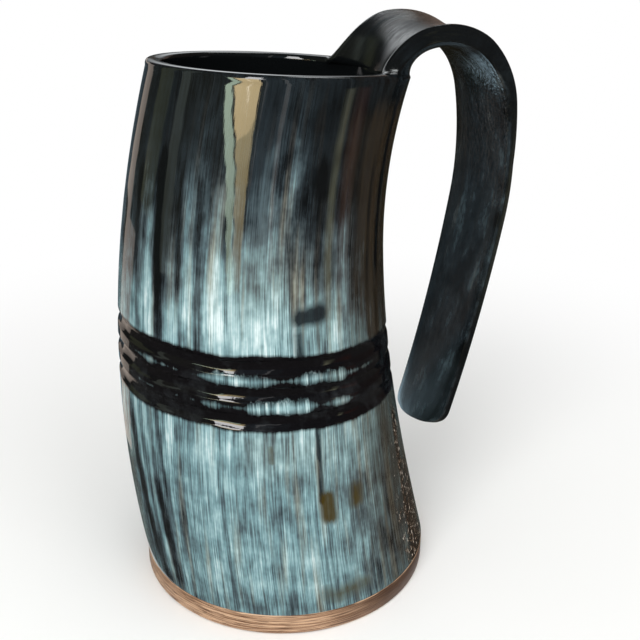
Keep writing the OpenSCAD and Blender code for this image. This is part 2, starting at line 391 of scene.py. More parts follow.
# patches of the ridges rubbed bare: ridge, middle and half length in degrees, how bare
BARE_RIDGES = (
    (1, -114, 14, 1.0), (1, -78, 12, 0.9), (1, -153, 5, 0.5), (1, -96, 8, 0.2), (0, -112, 8, 0.25),
    (0, -96, 14, 1.0), (0, -123, 5, 0.5), (0, -73, 7, 0.5), (1, 150, 18, 0.9), (0, 110, 14, 1.0),
    (1, 60, 12, 0.9), (0, 10, 10, 0.6),
)


def carve_grooves(form, height, turn):
    """Depth of the hand-cut grooves below the wall, and how far a place lies outside them"""
    w = form.wall
    depth = np.zeros(np.broadcast(height, turn).shape)
    clear = np.full(depth.shape, SOOT_FREE)
    for g in range(w.groove_count):
        middle = w.groove_height + (g - (w.groove_count - 1) / 2) * w.groove_pitch
        aside = np.abs(height - (middle + waver(turn, GROOVE_WANDER, g)))
        half = w.groove_w / 2 * (1 + waver(turn, GROOVE_WIDTHS, g))
        cut = w.groove_depth * np.clip(USUAL_CUT + waver(turn, GROOVE_DEPTHS, g), LEAST_CUT, 1)
        depth = np.maximum(depth, cut * np.clip(1 - (aside / half) ** GROOVE_SQUARE, 0, 1))
        clear = np.minimum(clear, aside - half)
    return depth, clear


def soot_reach(form, height, turn):
    """How far soot spreads past the grooves and how gently it ends: over the ridges but on bare patches"""
    w = form.wall
    off = (height - w.groove_height) / w.groove_pitch
    between = np.abs(off) < (w.groove_count - 1) / 2
    smear = np.exp(-(((np.degrees(turn) - SMEAR_MIDDLE) / SMEAR_HALF) ** 2))
    reach = np.where(between, RIDGE_SOOT, BAND_SOOT) + np.where(off > 1, SMEAR_SOOT, 0.0) * smear
    for ridge, middle, half, share in BARE_RIDGES:
        at = ridge - (w.groove_count - 2) / 2
        aside = np.abs((turn - math.radians(middle) + math.pi) % TURN - math.pi) / math.radians(half)
        worn = np.clip(PATCH_BARENESS + waver(turn, RIDGE_WEAR, ridge), 0, 1)
        bare = share * worn * (np.abs(off - at) < 0.5) * (1 - smooth(*PATCH_END, aside))
        reach = reach * (1 - bare) + BARE_SOOT * bare
    return reach, np.where(between, RIDGE_SOFTNESS, 1.0)


# the waves that a scraper leaves: seed, number, depth, counts to the turn, and lengths along the horn
RIPPLE_SEED = 61
RIPPLES = 12
RIPPLE_DEPTH = 0.025 * MM
RIPPLE_COUNTS = (6, 26)
RIPPLE_LENGTHS = (6 * MM, 14 * MM)
# shares of the horn's height over which they fade out at the foot and under the lip
FOOT_FADE = 0.02
LIP_FADE = 0.07


def ripple(turn, height):
    """Shallow seeded waves that scraping leaves in the wall, from 0 to 1"""
    draw = np.random.RandomState(RIPPLE_SEED)
    total = np.zeros(np.broadcast(turn, height).shape)
    for _ in range(RIPPLES):
        around = draw.randint(*RIPPLE_COUNTS)
        start = draw.uniform(0, TURN)
        along = TURN / draw.uniform(*RIPPLE_LENGTHS) * draw.choice([-1, 1])
        total += np.sin(around * turn + along * height + start)
    return np.clip(0.5 + total / RIPPLES, 0, 1)


# rows of points up the wall below, across and above the band of grooves, and down the inside
FOOT_ROWS = 44
BAND_ROWS = 100
TOP_ROWS = 64
INNER_ROWS = 56
BAND_MARGIN = 2 * MM
# the eased edge at the foot and its rows, the glue gap round the seal and the edges above the seat
FOOT_EDGE = 0.3 * MM
FOOT_EDGE_ROWS = np.array([0, 0.1, 0.4])
GLUE_GAP = 0.3 * MM
SEAT_EDGE = 0.2 * MM
SEAT_SLOPE = 1.5 * MM
# where over the lip the black of the inside starts and is full
LIP_BLACK = (0.5, 0.9)


def skin_wall(skin):
    """The outer wall with its grooves, the lip, the inside and the seat for the wood"""
    form = skin.form
    w = form.wall
    turn = np.arange(SIDES) * TURN / SIDES
    band = w.groove_pitch * w.groove_count / 2 + BAND_MARGIN
    low, high = form.level(w.groove_height - band), form.level(w.groove_height + band)
    levels = np.concatenate([
        FOOT_EDGE_ROWS * FOOT_EDGE / form.horn_h,
        np.linspace(FOOT_EDGE / form.horn_h, low, FOOT_ROWS, endpoint=False),
        np.linspace(low, high, BAND_ROWS, endpoint=False),
        np.linspace(high, form.lip_level, TOP_ROWS),
    ])[:, None]
    height = HORN_FOOT + levels * form.horn_h
    carved, clear = carve_grooves(form, height, turn)
    eased = FOOT_EDGE * (1 - np.sqrt(1 - np.clip(1 - levels * form.horn_h / FOOT_EDGE, 0, 1) ** 2))
    fade = smooth(0, FOOT_FADE, levels) * smooth(0, LIP_FADE, form.lip_level - levels)
    scraped = RIPPLE_DEPTH * ripple(turn, height) * fade
    outer = form.point(levels, turn, carved + eased + scraped)
    reach, softness = soot_reach(form, height, turn)
    outer_numbers = skin.add(outer, turn, levels * form.horn_h, carved, (clear - reach) * softness)

    inner_levels = np.linspace(form.lip_level, form.level(SEAT_TOP + SEAT_SLOPE), INNER_ROWS)[:, None]
    thickness = form.wall_t(inner_levels, turn)
    inner = form.point(inner_levels, turn, thickness)
    inner_numbers = skin.add(inner, turn, inner_levels * form.horn_h, thickness, inside=1.0)

    seat_r = SEAL_R + GLUE_GAP
    seat_heights = np.array([SEAT_TOP + SEAT_EDGE, SEAT_TOP - SEAT_EDGE, HORN_FOOT])[:, None]
    seat = np.stack(np.broadcast_arrays(seat_r * np.cos(turn), seat_r * np.sin(turn), seat_heights), -1)
    seat_numbers = skin.add(seat, turn, seat_heights - HORN_FOOT, FOOT_R - seat_r, inside=1.0)

    step = np.arange(1, LIP_STEPS) * math.pi / LIP_STEPS
    rim = np.r_[ROOT_COLUMNS : SIDES - ROOT_COLUMNS + 1]
    rim_turn = turn[rim]
    rounded, proud = squared(step, LIP_SQUARE)
    lip_depth = form.wall_t(form.lip_level, rim_turn) * (1 - rounded)[:, None] / 2
    lip = form.point(form.lip_level, rim_turn, lip_depth)
    lip_rise = w.lip_rise * proud[:, None]
    lip[..., 2] += lip_rise
    lip_inside = smooth(*LIP_BLACK, step / math.pi)[:, None]
    lip_run = form.lip_level * form.horn_h + lip_rise
    lip_numbers = skin.add(lip, rim_turn, lip_run, lip_depth, inside=lip_inside)

    around = np.r_[0:SIDES, 0]
    over = np.vstack([outer_numbers[-1:, rim], lip_numbers, inner_numbers[:1, rim]])
    below = np.vstack([inner_numbers, seat_numbers, outer_numbers[:1]])
    skin.wall_faces += [skin.cells(outer_numbers[:, around]), skin.cells(over), skin.cells(below[:, around])]
    root = np.r_[SIDES - ROOT_COLUMNS : SIDES, 0 : ROOT_COLUMNS + 1]
    skin.seam = np.concatenate([
        outer_numbers[-1, root], lip_numbers[:, 0], inner_numbers[0, root[::-1]], lip_numbers[::-1, -1]
    ])


# rows of points along the root's fillets, along the strap and over its rounded end
FILLET_ROWS = 18
STRAP_ROWS = 126
END_ROWS = 12
# the power of the rounded end's outline, and where on it the last corners stand
END_POWER = 2.4
END_CORNER = 0.5 ** (1 / END_POWER)
# how fast the edge's rounding sets in over the end
END_EDGE_POWER = 1.8
# how much thinner the strap is at its edges, and how narrow that is
EDGE_THINNING = 0.2
THINNING_POWER = 10
# over what length before the rounding the end is askew, and how far its middle is shifted with it
SKEW_RUN = 0.03
SKEW_SHIFT = 0.35
# where across the sawn edges their painted shade, in black, starts, from -1 at the face turned to the cup
# to 1 at the far face: at the root, at the end of the arch, some way past it and at the free end, and how
# softly
EDGE_SHADE_FROM = (-1.5, -1.5, -0.6, -0.7)
PAST_ARCH = 1.6
EDGE_SHADE_SOFTNESS = 0.5


def skin_strap(skin):
    """The strap from the seam on the rim over the arch and down to its free end"""
    form = skin.form
    w, s = form.wall, form.strap
    turn = np.arange(-ROOT_COLUMNS, ROOT_COLUMNS + 1) * TURN / SIDES
    columns = len(turn)
    span = ROOT_COLUMNS * TURN / SIDES
    across = np.sin(turn) / math.sin(span)
    bowed = (1 - np.cos(turn)) / (1 - math.cos(span))
    corner = form.point(form.lip_level, span, 0)
    root_dish = form.point(form.lip_level, 0, 0)[0] - corner[0]
    widening = corner[1] - s.strap_w / 2
    step = np.arange(1, LIP_STEPS) * math.pi / LIP_STEPS
    end_at = form.strap_length - s.end_round

    def plain_w(along):
        """Half the strap's width, without the fillets at its root"""
        return (s.strap_w + (s.strap_end_w - s.strap_w) * along / form.strap_length) / 2

    def section(along, half_w, reach, normal, bulge, square):
        """One ring: along the cup's side, round the right edge, back on the far side, round the left edge"""
        edge_t = form.strap_t(along) / 2
        dish = form.strap_dish(along, root_dish)
        thin = 1 - EDGE_THINNING * min(1, along / s.root_fillet) * np.abs(across) ** THINNING_POWER
        sides = across * (half_w - bulge * normal[1])
        outer_face = np.stack([reach, sides, dish * bowed - edge_t * thin], -1)
        inner_face = np.stack([reach, sides, dish * bowed + edge_t * thin], -1)
        rounded, proud = squared(step, square)
        edges = []
        for side, sign in ((-1, 1), (0, -1)):
            first, second = outer_face[side], inner_face[side]
            middle, half = (first + second) / 2, (first - second) / 2
            out = bulge * np.array([normal[0], sign * normal[1], 0])
            edges.append(middle + half * rounded[:, None] + proud[:, None] * out)
        return np.concatenate([outer_face, edges[0], inner_face[::-1], edges[1][::-1]])

    rows = []
    alongs = []
    for phase in np.linspace(0, math.pi / 2, FILLET_ROWS):
        share = math.sin(phase)
        along = s.root_fillet * (1 - math.cos(phase))
        normal = np.array([widening * math.cos(phase), s.root_fillet * share])
        normal /= np.linalg.norm(normal)
        bulge = w.lip_rise * (1 - share) + s.edge_round * share
        half_w = plain_w(along) + widening * (1 - share)
        reach = np.full(columns, along - bulge * normal[0])
        square = LIP_SQUARE + (EDGE_SQUARE - LIP_SQUARE) * share
        rows.append(section(along, half_w, reach, normal, bulge, square))
        alongs.append(along)
    for along in np.linspace(s.root_fillet, end_at, STRAP_ROWS)[1:]:
        reach = np.full(columns, along)
        rows.append(section(along, plain_w(along), reach, np.array([0, 1]), s.edge_round, EDGE_SQUARE))
        alongs.append(along)
    end_w = plain_w(end_at)
    corner_share = END_CORNER * np.abs(across)
    end_line = (1 - corner_share**END_POWER) ** (1 / END_POWER)
    end_normals = np.stack([
        end_line ** (END_POWER - 1) / s.end_round, np.sign(across) * corner_share ** (END_POWER - 1) / end_w
    ], -1)
    end_normals /= np.linalg.norm(end_normals, axis=1)[:, None]
    for share in np.linspace(0, 1, END_ROWS)[1:]:
        depth = END_CORNER * share
        aside = (1 - depth**END_POWER) ** (1 / END_POWER)
        along = end_at + s.end_round * depth
        normal = np.array([depth ** (END_POWER - 1) / s.end_round, aside ** (END_POWER - 1) / end_w])
        normal /= np.linalg.norm(normal)
        eased = s.edge_round * end_normals[:, 0] * share**END_EDGE_POWER
        reach = end_at + s.end_round * share * end_line - eased
        rows.append(section(along, end_w * aside, reach, normal, s.edge_round, EDGE_SQUARE))
        alongs.append(along)
    rows = np.array(rows)
    alongs = np.array(alongs)

    right = slice(columns, columns + LIP_STEPS - 1)
    far = slice(columns + LIP_STEPS - 1, 2 * columns + LIP_STEPS - 1)
    left = slice(2 * columns + LIP_STEPS - 1, None)
    outer_end, inner_end = rows[-1, :columns], rows[-1, far][::-1]
    rounded, proud = squared(step, EDGE_SQUARE)
    out = s.edge_round * np.column_stack([end_normals, np.zeros(columns)])
    cap = (outer_end + inner_end) / 2 + (outer_end - inner_end) / 2 * rounded[:, None, None]
    cap = cap + proud[:, None, None] * out

    def placed(parts):
        """Points along, across and off the middle line set in the frame, with the free end cut askew"""
        late = smooth(end_at - SKEW_RUN, form.strap_length, parts[..., 0])
        lean = parts[..., 1] / (s.strap_end_w / 2) + SKEW_SHIFT
        x, z, direction = form.strap_line(parts[..., 0] + s.end_skew / 2 * late * lean)
        off = parts[..., 2]
        return np.stack([x - off * np.sin(direction), parts[..., 1], z + off * np.cos(direction)], -1)

    ring = placed(rows)
    seam = skin.table()[skin.seam]
    settle = np.clip(1 - alongs / s.root_fillet, 0, 1)[:, None, None] ** 2
    ring = ring + settle * (seam[:, :3] - ring[0])
    rise = form.lip_level * form.horn_h + alongs[:, None]
    inside = seam[:, INSIDE_AT] * settle[..., 0]
    places = [0, form.arch_end, PAST_ARCH * form.arch_end, form.strap_length]
    # painted shade: the strap's sawn edges are darkened to black, all over them at the root and the arch
    edge_shade_from = np.interp(alongs, places, EDGE_SHADE_FROM)[:, None]
    black = smooth(edge_shade_from, edge_shade_from + EDGE_SHADE_SOFTNESS, -rounded)
    black = black * smooth(0, s.root_fillet, alongs)[:, None]
    face = np.zeros((len(alongs), columns))
    edge = np.hstack([face, black, face, black[:, ::-1]])
    turns, depths = seam[:, TURN_AT], seam[:, DEPTH_AT]
    ring_numbers = skin.add(ring[1:], turns, rise[1:], depths, inside=inside[1:], edge=edge[1:])
    ring_numbers = np.vstack([skin.seam, ring_numbers])
    cap_depth = w.wall * (1 - rounded[:, None]) / 2
    cap_inner = skin.add(placed(cap)[:, 1:-1], turn[1:-1], rise[-1], cap_depth, edge=black[-1][:, None])
    last = ring_numbers[-1]
    middle_rows = np.column_stack([last[left][::-1], cap_inner, last[right]])
    cap_grid = np.vstack([last[:columns], middle_rows, last[far][::-1]])
    closed = np.column_stack([ring_numbers, ring_numbers[:, :1]])
    skin.strap_faces += [skin.cells(closed), skin.cells(cap_grid)]


def seam_caps(skin):
    """Faces that close wall and strap on the seam between them"""
    columns = 2 * ROOT_COLUMNS + 1
    outer = skin.seam[:columns]
    right = skin.seam[columns : columns + LIP_STEPS - 1]
    inner = skin.seam[columns + LIP_STEPS - 1 : 2 * columns + LIP_STEPS - 1][::-1]
    left = skin.seam[2 * columns + LIP_STEPS - 1 :][::-1]
    caps = [list(face) for face in skin.cells(np.vstack([outer, inner]))]
    caps.append([outer[-1], *right, inner[-1]])
    caps.append([inner[0], *left[::-1], outer[0]])
    return caps


def point_normals(points, faces):
    """Smooth normals of the whole skin, so that wall and strap shade as one piece"""
    a, b, c, d = (points[faces[:, k]] for k in range(4))
    areas = np.cross(c - a, d - b)
    normals = np.zeros_like(points)
    for k in range(4):
        np.add.at(normals, faces[:, k], areas)
    return normals / np.maximum(np.linalg.norm(normals, axis=1), 1e-12)[:, None]


# the fibres turn a little towards the foot, and run straight above this level
FOOT_TWIST = math.radians(6.5)
STRAIGHT_FROM = 0.4
# how far up the pale horn reaches, in degrees round from the handle and millimetres above the table, and
# how that line wavers: size, seed, fewest and most waves to the turn
PALE_WAVER = (3 * MM, 41, 30, 75)
PALE_REACH = (
    (-172, 107), (-163, 113), (-155, 117), (-151, 109), (-148, 91), (-145, 101), (-141, 105),
    (-137, 115), (-134, 121), (-130, 131), (-127, 115), (-123, 123), (-116, 119), (-112, 111),
    (-106, 109), (-102, 123), (-97, 129), (-93, 135), (-89, 123), (-85, 115), (-79, 104), (-74, 107),
    (-69, 113), (-63, 105), (-55, 101), (-45, 94), (-30, 93), (-12, 106), (6, 92), (20, 114), (29, 98),
    (38, 106), (52, 120), (60, 102), (66, 108), (80, 129), (88, 106), (96, 114), (108, 124), (115, 98),
    (122, 102), (136, 120), (144, 98), (150, 106), (162, 123), (174, 112),
)
# soft light and dark clouds: degrees, millimetres, half angle, half height, amount
CLOUDS = (
    (-164, 40, 12, 45, -0.20), (-146, 22, 8, 26, -0.12), (-150, 62, 7, 14, -0.06),
    (-118, 62, 13, 9, 0.12), (-90, 62, 6, 10, 0.10), (-76, 62, 7, 9, 0.08), (-101, 46, 7, 10, -0.17),
    (-122, 50, 7, 6, 0.07), (-104, 28, 20, 8, 0.05), (-118, 20, 10, 7, 0.07), (-88, 25, 5, 13, 0.06),
    (-100, 9, 40, 4, -0.12), (-70, 46, 6, 7, -0.20), (-58, 22, 13, 18, -0.21), (-48, 45, 12, 30, -0.16),
    (-124, 98, 12, 9, 0.06), (-98, 96, 20, 7, 0.08), (-60, 62, 10, 8, 0.04), (-62, 104, 12, 14, -0.12),
    (40, 45, 25, 30, -0.18), (100, 30, 30, 22, -0.12), (75, 62, 16, 9, 0.10), (150, 50, 18, 16, -0.14),
    (15, 60, 14, 12, 0.06), (120, 62, 14, 8, 0.10), (-109, 118, 6, 24, 0.18), (-121, 104, 6, 8, 0.12),
    (-95, 112, 6, 13, -0.22), (-120, 115, 6, 6, -0.08), (-82, 114, 6, 11, 0.13),
    (-134, 113, 5, 7, -0.09), (-137, 132, 6, 9, 0.10), (-110, 61, 6, 5, -0.16), (-98, 61, 5, 5, 0.06),
    (-90, 41, 6, 6, -0.08), (-146, 15, 7, 8, 0.10),
)
# streaks lighter or darker than the horn round them: from degrees and millimetres, to degrees and
# millimetres, half width and amount; then the length in millimetres over which each ends
STREAKS = (
    (-164, 128, -160, 92, 2.0, -0.25), (-150, 132, -146.5, 92, 2.3, -0.34),
    (-139.5, 130, -136.5, 95, 1.1, -0.22), (-130, 127, -128.5, 92, 1.8, -0.28),
    (-117.5, 121, -117, 103, 1.0, -0.28), (-112, 132, -112, 114, 1.3, -0.14),
    (-89.5, 129, -89, 107, 3.4, -0.16), (-82, 134, -81, 114, 3.2, -0.12),
    (-52, 131, -51.5, 94, 1.1, -0.25), (-41, 152, -44, 92, 1.8, -0.35),
    (-154.5, 118, -152.5, 90, 2.4, 0.20), (-140.5, 108, -140.5, 92, 1.6, 0.08),
    (-135, 124, -133, 96, 1.8, 0.12), (-122.5, 124, -122, 91, 3.4, 0.14),
    (-106, 104, -107, 91, 3.0, 0.08), (-98, 124, -98, 92, 2.8, 0.06), (-69, 116, -72, 90, 3.4, 0.16),
    (-104, 138, -104, 118, 2.4, 0.10), (-92, 140, -92, 132, 2.0, 0.10), (-167, 56, -160, 8, 2.6, -0.34),
    (-153, 40, -151, 14, 2.6, -0.30), (-149.5, 66, -148.5, 46, 1.1, -0.34),
    (-157, 66, -155, 20, 1.2, 0.26), (-143, 66, -146, 30, 1.1, 0.18), (-163, 66, -160, 20, 1.2, 0.22),
    (-138.5, 67, -144, 8, 1.0, -0.26), (-110, 68, -114, 36, 0.9, -0.14),
    (-121.5, 66, -123, 49, 0.9, -0.14), (100, 130, 101, 96, 2.6, -0.28), (74, 128, 75, 95, 2.2, 0.16),
    (140, 125, 138, 92, 2.4, -0.28), (128, 60, 124, 14, 1.6, -0.20), (30, 124, 30, 92, 2.4, -0.25),
    (165, 122, 163, 92, 2.2, 0.16),
)
STREAK_FADE = 9
# warmer and cooler places among the fibres, as the clouds are given
TINTS = (
    (-60, 46, 20, 45, 0.11), (-88, 62, 12, 9, 0.10), (-106, 62, 8, 8, 0.12), (-148, 36, 20, 40, -0.12),
    (-105, 38, 14, 8, -0.12), (-100, 110, 60, 20, 0.09), (-92, 112, 8, 10, 0.06),
    (-108, 108, 8, 14, 0.06), (-125, 122, 16, 14, -0.10), (35, 60, 30, 40, 0.12),
    (110, 80, 22, 30, -0.10), (150, 40, 22, 22, 0.10),
)
# marks in the horn: kind, from degrees and millimetres, to degrees and millimetres, half width, strength
MARKS = (
    ("scar", -88, 99.6, -79, 100.6, 3.0, 1.0), ("scar", -88.5, 95, -88, 89, 2.0, 0.5),
    ("scar", -83, 71, -85.5, 45, 1.1, 0.8), ("amber", -83, 46, -83.6, 40, 3.0, 1.0),
    ("amber", -102.5, 63, -103, 59, 1.3, 0.5), ("amber", -70, 46, -71, 42, 3.0, 0.45),
    ("amber", -89, 13, -75, 13, 3.6, 0.35), ("crust", -30, 36, -38, 10, 10.0, 1.0),
    ("crust", -34, 58, -37, 38, 4.0, 0.6), ("scar", 92, 92, 98, 93, 2.5, 0.8),
    ("amber", 60, 44, 60, 36, 2.6, 0.8),
)


def stroke(degrees, height, from_angle, from_height, to_angle, to_height, half_w, fade):
    """1 on the middle of a stroke, 0 where it fades out, less outside it, with lengths in millimetres"""
    radius = FOOT_R / MM
    aside = radius * np.radians((degrees - from_angle + 180) % 360 - 180)
    above = height / MM - from_height
    run = np.array([radius * math.radians(to_angle - from_angle), to_height - from_height])
    size = np.linalg.norm(run)
    along = (aside * run[0] + above * run[1]) / size
    across = (aside * run[1] - above * run[0]) / size
    beyond = np.maximum(0, np.maximum(-along, along - size))
    return 1 - np.hypot(across / half_w, beyond / fade)


# lengths along the strap from the rim over which something sets in or ends: the strap's own tone, the
# wrinkles of its bend, the rubbed face of its root and the warm tone of its left half
STRAP_STARTS = (0.0, 0.02)
BEND_STARTS = (0.02, 0.03)
BEND_ENDS = (0.045, 0.085)
RUBBED_STARTS = (0.002, 0.008)
RUBBED_ENDS = (0.03, 0.05)
WARM_ENDS = (0.05, 0.11)
# depths below the outer face over which the wrinkled face ends and the face over the mouth begins
WRINKLED_DEPTH = (0.5 * MM, 2 * MM)
MOUTH_DEPTH = (1 * MM, 3 * MM)
# the warm streaks on the wall, partly the horn's brown and partly painted reflection on its right side
# towards the handle: middle and half width in degrees, and how far below the rim they set in
WARM_MIDDLE = -36
WARM_HALF = 30
WARM_BELOW_RIM = (2 * MM, 12 * MM)
# the warm tone of the strap's left half: degrees over which it sets in, and its share
WARM_LEFT = (0, 30)
WARM_SHARE = 0.7
# how much of a streak is soft edge
STREAK_EDGE = (-0.2, 0.7)


def painted_fields(form, turn, rise, depth):
    """What the horn's colouring needs at each point: how far it lies above the pale horn, its clouds, tints
    and marks, and the shares of strap, wrinkles, rubbing and warm streaks, which on the wall are partly
    painted reflection"""
    degrees = np.degrees((turn + math.pi) % TURN - math.pi)
    height = HORN_FOOT + rise
    angles, reaches = np.array(PALE_REACH).T
    places = np.concatenate([angles - 360, angles, angles + 360])
    tops = np.interp(degrees, places, np.tile(reaches, 3)) * MM + waver(turn, PALE_WAVER)
    fields = {"tip": height - tops}
    for kind, spots in (("cloud", CLOUDS), ("tint", TINTS)):
        fields[kind] = np.zeros_like(turn)
        for middle, low, half_angle, half_height, amount in spots:
            aside = ((degrees - middle + 180) % 360 - 180) / half_angle
            fields[kind] += amount * np.exp(-(aside**2) - ((height / MM - low) / half_height) ** 2)
    for *place, half_w, amount in STREAKS:
        streak = stroke(degrees, height, *place, half_w, STREAK_FADE)
        fields["cloud"] += amount * smooth(*STREAK_EDGE, streak)
    for kind in ("scar", "amber", "crust"):
        fields[kind] = np.full(turn.shape, -1.0)
    for kind, *place, half_w, strength in MARKS:
        mark = stroke(degrees, height, *place, half_w, half_w)
        fields[kind] = np.maximum(fields[kind], np.where(mark > 0, strength * mark, mark))

    run = rise - form.horn_h
    fields["strap"] = smooth(*STRAP_STARTS, run)
    bend = smooth(*BEND_STARTS, run) * (1 - smooth(*BEND_ENDS, run))
    fields["wrinkle"] = bend * (1 - smooth(*WRINKLED_DEPTH, depth))
    root = smooth(*RUBBED_STARTS, run) * (1 - smooth(*RUBBED_ENDS, run))
    fields["rubbed"] = root * smooth(*MOUTH_DEPTH, depth)
    # the wall's brown towards the handle: partly the horn's own brown, partly painted reflection
    wall_warmth = np.exp(-(((degrees - WARM_MIDDLE) / WARM_HALF) ** 2)) * smooth(*WARM_BELOW_RIM, -run)
    strap_warmth = WARM_SHARE * smooth(*WARM_LEFT, degrees) * (1 - smooth(*WARM_ENDS, run))
    fields["warm"] = wall_warmth + strap_warmth * fields["strap"]
    return fields


def skin_piece(name, skin, faces, caps, normals, material):
    """One closed piece of the skin as an object"""
    used = np.unique(np.concatenate([faces.ravel(), [n for cap in caps for n in cap]]))
    renumber = np.zeros(skin.count, int)
    renumber[used] = np.arange(len(used))
    mesh = bpy.data.meshes.new(name)
    polygons = renumber[faces].tolist() + [[int(renumber[n]) for n in cap] for cap in caps]
    x, y, z, turn, rise, depth, soot, inside, edge = skin.table()[used].T
    mesh.from_pydata(np.column_stack([x, y, z]).tolist(), [], polygons)
    mesh.shade_smooth()
    fields = {"soot": soot, "inside": inside, "edge": edge, **painted_fields(skin.form, turn, rise, depth)}
    for label, values in fields.items():
        mesh.attributes.new(label, "FLOAT", "POINT").data.foreach_set("value", values)
    reach = FOOT_R - depth
    level = rise / skin.form.horn_h
    twisted = turn + FOOT_TWIST * np.clip(1 - level / STRAIGHT_FROM, 0, 1)
    straight = np.column_stack([reach * np.cos(twisted), reach * np.sin(twisted), rise])
    mesh.attributes.new("grain", "FLOAT_VECTOR", "POINT").data.foreach_set("vector", straight.ravel())
    mesh.normals_split_custom_set_from_vertices(normals[used].tolist())
    mesh.materials.append(material)
    piece = bpy.data.objects.new(name, mesh)
    bpy.context.scene.collection.objects.link(piece)
    return piece


# turned edges that bend by more than this stay sharp
SHARP_FROM = math.radians(35)


def turned_piece(name, profile, material):
    """A closed lathe-turned piece from a profile of radius and height, first and last points on the axis"""
    profile = np.array(profile)
    turn = np.arange(SIDES) * TURN / SIDES
    rings = [(r * math.cos(t), r * math.sin(t), z) for r, z in profile[1:-1] for t in turn]
    ends = [(0, 0, profile[0][1]), (0, 0, profile[-1][1])]
    count = len(profile) - 2
    faces = []
    for k in range(SIDES):
        j = (k + 1) % SIDES
        faces.append([count * SIDES, j, k])
        faces.append([count * SIDES + 1, (count - 1) * SIDES + k, (count - 1) * SIDES + j])
        for r in range(count - 1):
            faces.append([r * SIDES + k, r * SIDES + j, (r + 1) * SIDES + j, (r + 1) * SIDES + k])
    mesh = bpy.data.meshes.new(name)
    mesh.from_pydata(rings + ends, [], faces)
    mesh.shade_smooth()
    mesh.set_sharp_from_angle(angle=SHARP_FROM)
    mesh.materials.append(material)
    piece = bpy.data.objects.new(name, mesh)
    bpy.context.scene.collection.objects.link(piece)
    return piece


def add(tree, kind, *values, out=0, stops=None, named=None, **settings):
    """Adds a node, sets or links its inputs in order or by name, and gives one of its outputs"""
    made = tree.nodes.new("ShaderNode" + kind)
    for name, value in settings.items():
        setattr(made, name, value)
    for key, value in [*enumerate(values), *(named or {}).items()]:
        if isinstance(value, bpy.types.NodeSocket):
            tree.links.new(value, made.inputs[key])
        elif value is not None:
            made.inputs[key].default_value = value
    if stops:
        ramp = made.color_ramp
        while len(ramp.elements) < len(stops):
            ramp.elements.new(1.0)
        for element, (place, shade) in zip(ramp.elements, stops):
            element.position = place
            element.color = shade
    return made.outputs[out] if made.outputs else None


def new_material(name):
    """An empty node material"""
    material = bpy.data.materials.new(name)
    material.use_nodes = True
    material.node_tree.nodes.clear()
    return material, material.node_tree


def grey(stops):
    """Colour stops in grey from places and values"""
    return [(place, (value, value, value, 1.0)) for place, value in stops]


# how a node is set that mixes two colours, and its output
COLOUR_MIX = {"data_type": "RGBA", "out": "Result"}
# what is painted on the horn's points as numbers
PAINTED = (
    "tip", "cloud", "tint", "soot", "warm", "scar", "amber", "crust", "inside", "strap", "wrinkle", "rubbed",
    "edge",
)
# patterns that run along the fibres: width and length in millimetres, detail, roughness. Real fibres are
# finer than the hairs, which are drawn as coarse as they need to show
PATTERNS = (
    ("bands", 4.5, 60, 3, 0.55), ("streaks", 1.3, 26, 3, 0.6), ("hairs", 0.36, 13, 2, 0.55),
    ("blotches", 6, 8, 3, 0.6), ("tints", 3.2, 45, 2, 0.5), ("crumbs", 0.9, 1.8, 3, 0.65),
    ("dimples", 2.4, 1.5, 2, 0.6), ("patches", 14, 12, 4, 0.7),
)
# how far each pattern is shifted against the one before, and where the first lies
PATTERN_SHIFT = (7.3, 3.7)
PATTERN_START = 2.1
# sums of painted shares and patterns: each part with its share, which is a number or another part
SUMS = (
    ("away", ("tip", 1.0), ("bands", 7 * MM), ("streaks", 9 * MM), ("hairs", 4 * MM)),
    ("fibres", ("streaks", 0.55), ("hairs", 0.75), ("blotches", 0.65), ("bands", 0.4)),
    ("scuffs", ("dimples", "wrinkle")),
    ("mottle", ("patches", "strap")),
    ("lift", ("cloud", 1.0), ("strap", 0.07), ("scuffs", 0.08), ("mottle", 0.3)),
    ("rough_warm", ("warm", 1.0), ("bands", 0.3), ("streaks", 0.2)),
    ("rough_scar", ("scar", 1.0), ("hairs", 0.16), ("blotches", 0.3)),
    ("rough_amber", ("amber", 1.0), ("hairs", 0.2), ("blotches", 0.3)),
    ("rough_crust", ("crust", 1.0), ("crumbs", 0.4), ("patches", 0.5), ("bands", 0.5)),
    ("rough_soot", ("soot", 1.0), ("streaks", 0.22 * MM), ("hairs", 0.12 * MM), ("blotches", 0.2 * MM)),
    ("scratches", ("hairs", "strap")),
    ("grazing", ("streaks", 1.0), ("hairs", 0.6), ("dimples", 0.5)),
    ("grazes", ("grazing", "rubbed")),
    ("relief", ("hairs", 0.4), ("streaks", 0.6), ("scuffs", 17.0), ("scratches", 0.7), ("grazes", 16.0)),
)
# depth of the relief in the lacquer
RELIEF_DEPTH = 0.03 * MM
# from how far below the end of the pale horn to how far above it the colour changes, in metres, and over
# that how pale the horn is and how strongly its fibres show, and how that strength is changed on the
# strap
TIP_SPAN = (-0.06, 0.04)
PALENESS = ((0.0, 0.60), (0.32, 0.66), (0.46, 0.62), (0.58, 0.41), (0.70, 0.22), (0.85, 0.09), (1.0, 0.045))
CONTRAST = ((0.0, 0.27), (0.40, 0.31), (0.60, 0.31), (0.80, 0.17), (1.0, 0.07))
STRAP_CONTRAST = -0.04
# colours of the crusty bark, from its lowest crumbs to its highest
BARK = ((0.0, "#1E1712"), (0.3, "#43301F"), (0.48, "#7A6450"), (0.62, "#E2DACE"))


